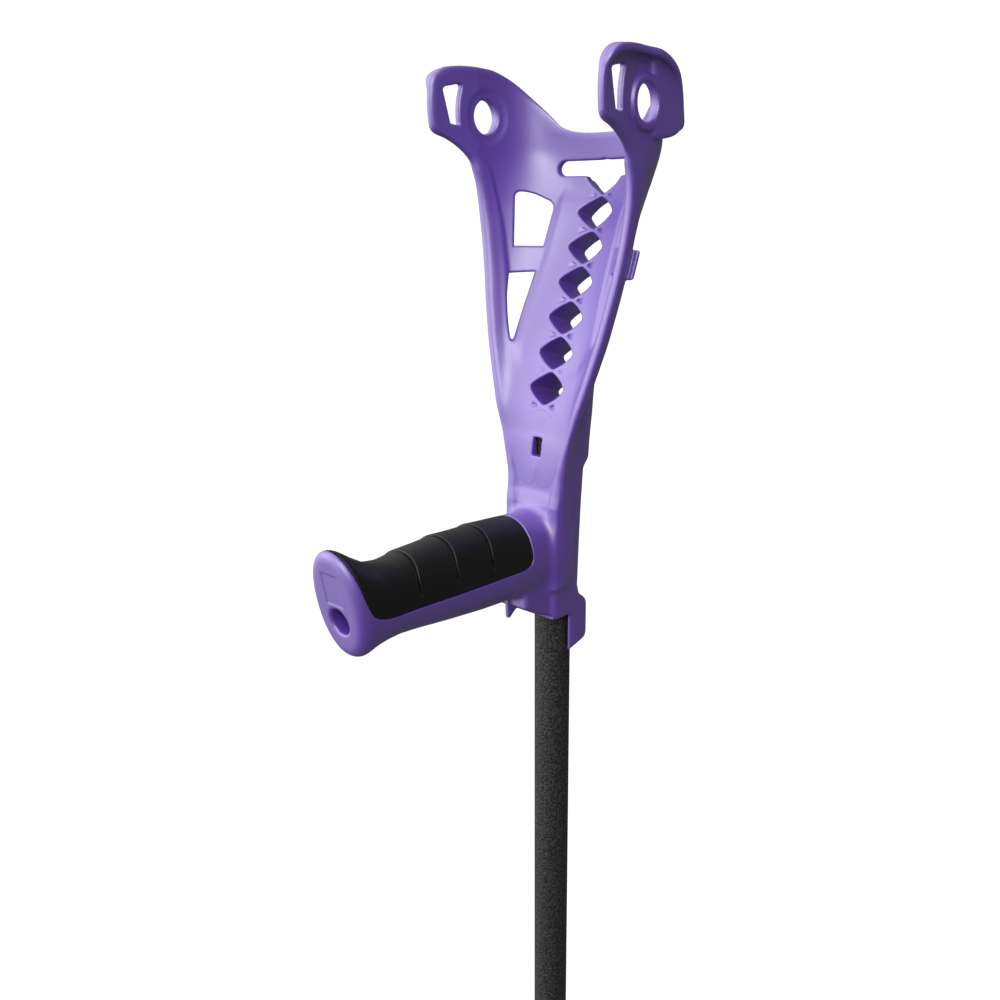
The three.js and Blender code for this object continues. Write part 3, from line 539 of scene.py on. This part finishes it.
def cuff_openings(body, x, y, z):
    """Diamonds, V, back slot, windows, paddle holes and slots, and the window at the foot."""
    rise = lattice_rise(y, z)
    level = rise - np.clip(np.round(rise / LATTICE_STEP), 0, LAST_DIAMOND) * LATTICE_STEP
    body = cut(body, diamond_outline(x, level), 0.9)
    body = cut(body, common(v_opening(x, z), 10 - y), 1.0)
    slot = np.hypot(np.maximum(np.abs(x) - 23.0, 0), z - BACK_SLOT_HEIGHT) - 3.8
    body = cut(body, common(slot, 10 - y), 1.3)
    across, inwards = wing_place(x, y)
    for outline in (upper_window, lower_window):
        body = cut(body, common(outline(across, z), inwards + 8), 1.4)
    hole = paddle_hole_distance(y, z) - PADDLE_HOLE_RADIUS
    body = cut(body, common(hole, PADDLE_INSIDE - np.abs(x)), 1.5)
    body = cut(body, common(slot_outline(y, z), PADDLE_INSIDE - np.abs(x)), 1.3)
    window = np.maximum(np.abs(x) - 2.9, np.abs(z - 114.2) - 4.8)
    return cut(body, np.maximum(window, np.abs(y + 14) - 10), 0.7)


def bores(body, x, y, z):
    """The tube's bore and its clearance below, the screw's hole and seat, the hole in the end."""
    radius = np.hypot(x, y)
    body = cut(body, common(radius - TUBE_BORE, z - TUBE_TOP), 0.5)
    body = cut(body, common(radius - 11, z - 22.0), 1.0)
    screw = np.hypot(x, z - SCREW_HEIGHT)
    body = cut(body, common(screw - 2.1, -y), 0.3)
    body = cut(body, common(screw - 3.8, 12 - y), 0.5)
    end_hole = np.hypot(x, z - END_HOLE_HEIGHT)
    return cut(body, common(end_hole - 6.2, y + 60), 1.8)


def moulding_field(x, y, z):
    body, trough = cuff_field(x, y, z)
    # thick back that the diamonds go through
    spine = common(common(np.abs(x) - 14, y - spine_at(z)[0], 5), -trough, 0.5)
    spine = common(common(spine, z - 248, 3), 104 - z, 4)
    body = union(body, spine, 3)
    body = lattice_relief(body, trough, x, y, z)
    # housing, handle, and the web and fin under the handle
    housing = common(housing_distance(x, y, z), HOUSING_FOOT - z, 3.0)
    housing = common(housing, z - HOUSING_TOP, 4)
    housing = common(housing, -(trough + WALL / 2 - 0.6), 1.0)
    body = union(body, housing, 4)
    handle = handle_distance(x, y, z)
    body = union(body, handle, 7)
    web = common(web_outline(y, z), np.abs(x) - 12.5, 3)
    body = union(body, web, 3)
    body = cuff_openings(body, x, y, z)
    body = union(body, common(fin_outline(y, z), np.abs(x) - 1.3, 0.8), 0.8)
    # tongue behind the tube
    tongue = common(tongue_outline(y, z), np.hypot(x, y) - 19.4, 2.5)
    tongue = common(tongue, np.abs(x) - 13, 2)
    body = union(body, tongue, 2.0)
    body = bores(body, x, y, z)
    # recessed panel on the end face
    forward = handle_forward(y, z)
    panel = np.maximum(np.abs(x) - 5.6, np.abs(z - 74.5) - 7.6)
    body = cut(body, common(panel, HANDLE_END - 0.35 - forward, 0.2), 0.3)
    # room for the grip cover
    room = common(grip_outline(y, z) - 0.12, -(handle + 3.6))
    room = common(room, z - 120)
    return cut(body, room, 0.35)


GROOVES = (110, 87, 63)  # forward of the tube's axis
PANELS_END = 36
SWELL = 0.7
GROOVE_HALF, GROOVE_DEPTH = 0.45, 1.1


def grip_field(x, y, z):
    handle = handle_distance(x, y, z)
    # the grooves bow outwards on the side of the handle, and each panel swells towards its outer one
    forward = -y - 3.0 * smoothstep(-z, -84, -70) + smoothstep(-z, -76, -58)
    swell = np.zeros_like(x)
    for start, end in zip(GROOVES, (*GROOVES[1:], PANELS_END)):
        share = np.clip((forward - end) / (start - end), 0, 1)
        swell = np.where((forward > end) & (forward <= start), SWELL * share ** 2, swell)
    swell = swell * smoothstep(z, 60, 74)
    body = common(handle - swell, -(handle + 3.5), 0.2)
    body = common(body, grip_outline(y, z), 0.9)
    depth = GROOVE_DEPTH * smoothstep(z, 62.5, 67)
    for place in GROOVES:
        groove = np.maximum(np.abs(forward - place) - GROOVE_HALF, -(handle + depth))
        body = cut(body, groove, 0.45)
    return body


# ---- Materials ------------------------------------------------------------------------------


class Look:
    """Small helper to write node materials in order."""

    def __init__(self, name):
        self.material = bpy.data.materials.new(name)
        self.material.use_nodes = True
        self.nodes = self.material.node_tree.nodes
        self.links = self.material.node_tree.links
        self.shader = self.nodes["Principled BSDF"]
        self.coordinates = self.nodes.new("ShaderNodeTexCoord").outputs["Object"]

    def set(self, **values):
        """Constant values of the shader, with underscores for the spaces in a socket's name."""
        for key, value in values.items():
            self.shader.inputs[key.replace("_", " ")].default_value = value

    def noise(self, scale, detail=3.0, stretch=None):
        vector = self.coordinates
        if stretch:
            mapping = self.nodes.new("ShaderNodeMapping")
            mapping.inputs["Scale"].default_value = stretch
            self.links.new(self.coordinates, mapping.inputs["Vector"])
            vector = mapping.outputs["Vector"]
        node = self.nodes.new("ShaderNodeTexNoise")
        node.inputs["Scale"].default_value = scale
        node.inputs["Detail"].default_value = detail
        self.links.new(vector, node.inputs["Vector"])
        return node.outputs["Fac"]

    def ramp(self, source, *stops):
        """Colours, or grey values, that follow a source. A stop is its place and its value."""
        node = self.nodes.new("ShaderNodeValToRGB")
        ramp = node.color_ramp
        while len(ramp.elements) < len(stops):
            ramp.elements.new(0.5)
        for element, (position, value) in zip(ramp.elements, stops):
            element.position = position
            element.color = (*value, 1) if isinstance(value, tuple) else (value, value, value, 1)
        self.links.new(source, node.inputs["Fac"])
        return node.outputs["Color"]

    def add(self, a, b, weight):
        node = self.nodes.new("ShaderNodeMath")
        node.operation = "MULTIPLY_ADD"
        node.inputs[1].default_value = weight
        self.links.new(b, node.inputs[0])
        self.links.new(a, node.inputs[2])
        return node.outputs[0]

    def bump(self, height, strength, distance):
        node = self.nodes.new("ShaderNodeBump")
        node.inputs["Strength"].default_value = strength
        node.inputs["Distance"].default_value = distance
        self.links.new(height, node.inputs["Height"])
        self.links.new(node.outputs["Normal"], self.shader.inputs["Normal"])

    def feed(self, socket, source, *stops):
        self.links.new(self.ramp(source, *stops), self.shader.inputs[socket])


def purple_plastic():
    look = Look("purple_plastic")
    look.set(IOR=1.5, Specular_IOR_Level=0.9)
    look.set(Coat_Weight=1.0, Coat_Roughness=0.5, Coat_IOR=1.9)
    cloud = look.noise(14, 2)
    look.feed("Base Color", cloud, (0.3, (0.082, 0.021, 0.315)), (0.7, (0.092, 0.024, 0.345)))
    look.feed("Roughness", look.noise(60, 3), (0.3, 0.41), (0.7, 0.48))
    look.bump(look.add(look.noise(1600, 2), look.noise(90, 2), 0.6), 0.10, 0.0002)
    return look.material


def grip_rubber():
    look = Look("grip_rubber")
    look.set(IOR=1.48, Specular_IOR_Level=0.35)
    cloud = look.noise(30, 3)
    look.feed("Base Color", cloud, (0.3, (0.0035, 0.0035, 0.004)), (0.7, (0.005, 0.005, 0.0052)))
    look.feed("Roughness", look.noise(120, 3), (0.3, 0.40), (0.7, 0.5))
    look.bump(look.noise(2200, 2), 0.12, 0.0002)
    return look.material


def crinkle_coat():
    look = Look("crinkle_coat")
    look.set(IOR=1.5, Specular_IOR_Level=0.4)
    grain = look.noise(820, 3)
    look.feed("Base Color", grain, (0.42, (0.004, 0.0035, 0.0035)), (0.62, (0.042, 0.038, 0.036)))
    look.feed("Roughness", grain, (0.4, 0.62), (0.65, 0.38))
    look.bump(look.add(grain, look.noise(380, 2), 0.5), 1.0, 0.0009)
    return look.material


def plain_plastic():
    look = Look("black_plastic")
    look.set(IOR=1.5)
    cloud = look.noise(40, 2)
    look.feed("Base Color", cloud, (0.3, (0.011, 0.011, 0.012)), (0.7, (0.016, 0.016, 0.017)))
    look.feed("Roughness", look.noise(150, 3), (0.3, 0.38), (0.7, 0.5))
    look.bump(look.noise(1500, 2), 0.15, 0.0002)
    return look.material


def satin_aluminium():
    look = Look("satin_aluminium")
    look.set(Metallic=1.0)
    streak = look.noise(60, 4, (9, 9, 0.35))
    look.feed("Base Color", streak, (0.35, (0.50, 0.51, 0.53)), (0.7, (0.60, 0.61, 0.63)))
    look.feed("Roughness", streak, (0.3, 0.27), (0.7, 0.38))
    look.bump(streak, 0.08, 0.0002)
    return look.material


def steel():
    look = Look("steel")
    look.set(Metallic=1.0)
    grain = look.noise(400, 3, (1, 6, 1))
    look.feed("Base Color", grain, (0.3, (0.46, 0.46, 0.47)), (0.7, (0.58, 0.58, 0.58)))
    look.feed("Roughness", grain, (0.3, 0.25), (0.7, 0.4))
    look.bump(grain, 0.06, 0.0001)
    return look.material


def ferrule_rubber():
    look = Look("ferrule_rubber")
    look.set(IOR=1.5)
    dust = look.noise(55, 4)
    look.feed("Base Color", dust, (0.35, (0.030, 0.030, 0.031)), (0.75, (0.050, 0.049, 0.047)))
    look.feed("Roughness", dust, (0.3, 0.62), (0.7, 0.8))
    look.bump(look.noise(1100, 3), 0.25, 0.0003)
    return look.material


PURPLE = purple_plastic()
GRIP = grip_rubber()
COAT = crinkle_coat()
BLACK = plain_plastic()
ALLOY = satin_aluminium()
STEEL = steel()
RUBBER = ferrule_rubber()

# ---- Moulding and grip: pieces --------------------------------------------------------------
CELL = 0.65
GRIP_CELL = CELL * 0.56

points, quads = field_surface(moulding_field, (-62, -162, -8), (62, 58, 310), CELL)
moulding = mesh_piece("moulded_cuff_and_handle", points, quads, PURPLE, lift=HEAD)
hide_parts("cuff_handle_moulding")
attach(moulding, "head")

points, quads = field_surface(grip_field, (-20, -150, 50), (20, -32, 96), GRIP_CELL)
grip = mesh_piece("soft_grip_cover", points, quads, GRIP, lift=HEAD)
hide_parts("grip_cover")
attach(grip, "head")

# ---- CAD nodes that keep their shape --------------------------------------------------------
for node, material in (
    ("tube_retaining_screw", STEEL), ("upper_tube", COAT), ("tube_top_plug", BLACK),
    ("height_collar", BLACK), ("anti_rattle_bush", BLACK), ("lock_clip", BLACK),
    ("lock_pin", STEEL), ("lower_tube", ALLOY), ("glide_sleeve", BLACK),
    ("foot_plug", BLACK), ("ferrule", RUBBER), ("ferrule_washer", STEEL),
):
    for slot in bpy.data.objects[node].material_slots:
        slot.material = material

# ---- Floor, light and camera ----------------------------------------------------------------


FLOOR_HALF = 60000
FLOOR_HEIGHT = -0.5


def floor():
    """Pale floor. The camera doesn't see it, so it hides no foot that slides out below it."""
    look = Look("pale_floor")
    look.feed("Base Color", look.noise(3, 2), (0.3, 0.78), (0.7, 0.80))
    look.set(Roughness=0.9, Emission_Color=(1, 1, 1, 1), Emission_Strength=0.75)
    half = FLOOR_HALF
    square = ((-half, -half), (half, -half), (half, half), (-half, half))
    corners = [(x, y, FLOOR_HEIGHT) for x, y in square]
    plane = mesh_piece("floor", corners, [(0, 1, 2, 3)], look.material, smooth=False)
    plane.visible_camera = False
    plane.visible_diffuse = False
    plane.visible_glossy = False


floor()

BRIGHT_SIDE = (-0.57, -0.58, 0.58)


def studio():
    """White surroundings: bright on one side for what they light, and even for the camera."""
    world = bpy.data.worlds.new("studio")
    bpy.context.scene.world = world
    world.use_nodes = True
    nodes, join = world.node_tree.nodes, world.node_tree.links.new
    sky = nodes["Background"]
    sky.inputs["Color"].default_value = (1, 1, 1, 1)
    side = nodes.new("ShaderNodeVectorMath")
    side.operation = "DOT_PRODUCT"
    side.inputs[1].default_value = BRIGHT_SIDE
    dim = nodes.new("ShaderNodeMapRange")
    dim.interpolation_type = "SMOOTHSTEP"
    dim.inputs["From Min"].default_value = -0.05
    dim.inputs["To Min"].default_value = 0.14
    dim.inputs["To Max"].default_value = 1.8
    strength = nodes.new("ShaderNodeMix")
    strength.inputs["B"].default_value = 1.1
    join(nodes.new("ShaderNodeTexCoord").outputs["Generated"], side.inputs[0])
    join(side.outputs["Value"], dim.inputs["Value"])
    join(dim.outputs["Result"], strength.inputs["A"])
    join(nodes.new("ShaderNodeLightPath").outputs["Is Camera Ray"], strength.inputs["Factor"])
    join(strength.outputs["Result"], sky.inputs["Strength"])


bpy.context.scene.view_settings.view_transform = "Standard"
studio()


def area_light(name, place, target, power, size):
    data = bpy.data.lights.new(name, "AREA")
    data.energy = power
    data.size = size
    light = bpy.data.objects.new(name, data)
    light.location = place
    light.rotation_euler = (Vector(place) - Vector(target)).to_track_quat("Z", "Y").to_euler()
    bpy.context.scene.collection.objects.link(light)


AIM = (0, 0, 0.85)  # near the grip
area_light("key", (-0.98, -1.05, 1.3), AIM, 6, 1.2)
area_light("fill", (0.8, -1.1, 1.7), AIM, 18, 1.0)

AZIMUTH, ELEVATION, ROLL = (math.radians(v) for v in (43.0, 16.37, -0.58))
EYE = Vector((0.3311, -0.3971, 0.9013))
SENSOR_WIDTH = 36
LENS = 35.8


def camera():
    right = Vector((math.cos(AZIMUTH), math.sin(AZIMUTH), 0))
    back = Vector((
        math.sin(AZIMUTH) * math.cos(ELEVATION), -math.cos(AZIMUTH) * math.cos(ELEVATION),
        math.sin(ELEVATION),
    ))
    up = back.cross(right)
    turned_right = right * math.cos(ROLL) + up * math.sin(ROLL)
    turned_up = up * math.cos(ROLL) - right * math.sin(ROLL)
    data = bpy.data.cameras.new("camera")
    data.sensor_width = SENSOR_WIDTH
    data.lens = LENS
    data.clip_start = 0.02
    eye = bpy.data.objects.new("camera", data)
    rows = [(turned_right[i], turned_up[i], back[i], EYE[i]) for i in range(3)]
    eye.matrix_world = Matrix([*rows, (0, 0, 0, 1)])
    bpy.context.scene.collection.objects.link(eye)
    bpy.context.scene.camera = eye


camera()
